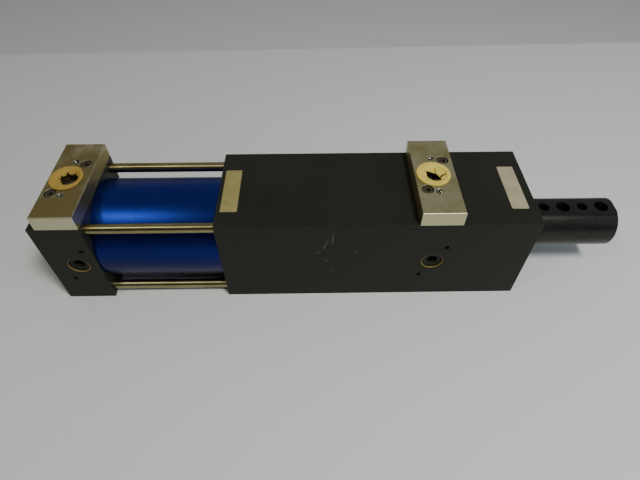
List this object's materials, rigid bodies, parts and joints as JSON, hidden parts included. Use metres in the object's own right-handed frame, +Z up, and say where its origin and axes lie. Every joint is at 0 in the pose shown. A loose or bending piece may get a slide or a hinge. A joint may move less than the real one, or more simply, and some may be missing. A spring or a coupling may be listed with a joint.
{
  "type": "guided pneumatic cylinder",
  "caption": "Guided pneumatic cylinder: square black guide body, blue air tube held by tie rods, rear cap, bolt-on port blocks and a keyed guide shaft with a drilled flat nose.",
  "frame": {"origin": "on the guide shaft's axis, in the plane of the guide body's front face", "axes": "+X along the shaft, out of the nose; +Z up, through the port blocks; +Y away from the side ports"},
  "size_m": [0.5518, 0.1019, 0.1184],
  "materials": {
    "black_anodised": "satin black anodised",
    "blue_anodised": "semi-gloss blue anodised",
    "plated_rod": "yellow zinc plated",
    "block_steel": "worn machined nickel-plated steel",
    "shaft_black": "black oxide, oiled",
    "screw_steel": "black oxide",
    "spring_steel": "phosphated",
    "bronze": "bearing bronze",
    "gland_metal": "machined",
    "inner_steel": "machined",
    "seal_black": "nitrile",
    "seal_amber": "amber polyurethane",
    "plug_yellow": "aged yellow polyethylene"
  },
  "bodies": {
    "housing": {"guide_body": "black_anodised", "rear_cap": "black_anodised", "air_tube": "blue_anodised", "tie_rod_near_lower": "plated_rod", "tie_rod_near_upper": "plated_rod", "tie_rod_far_lower": "plated_rod", "tie_rod_far_upper": "plated_rod", "tie_rod_nuts": "screw_steel", "front_tube_seal": "seal_black", "rear_tube_seal": "seal_black", "rear_guide_bushing": "bronze", "front_guide_bushing": "bronze", "front_gland": "gland_metal", "gland_seal": "seal_black", "rod_seal": "seal_amber", "seal_retainer": "inner_steel", "shaft_wiper": "seal_black", "gland_retaining_ring": "spring_steel", "guide_key": "inner_steel", "guide_key_screws": "screw_steel", "front_port_block": "block_steel", "rear_port_block": "block_steel", "front_block_screws": "screw_steel", "rear_block_screws": "screw_steel", "front_block_seal": "seal_black", "rear_block_seal": "seal_black", "front_port_plug": "plug_yellow", "rear_port_plug": "plug_yellow", "front_side_port_seal": "seal_amber", "rear_side_port_seal": "seal_amber"},
    "ram": {"guide_shaft": "shaft_black", "piston": "gland_metal", "front_piston_seal": "seal_black", "rear_piston_seal": "seal_black", "piston_wear_ring": "bronze", "piston_seat_seal": "seal_black", "front_bumper": "seal_black", "rear_bumper": "seal_black", "piston_washer": "inner_steel", "piston_nut": "inner_steel"}
  },
  "joints": [
    {"name": "ram_slide", "type": "slide", "parent": "housing", "child": "ram", "axis": [1, 0, 0], "range_m": [0, 0.0762]}
  ]
}
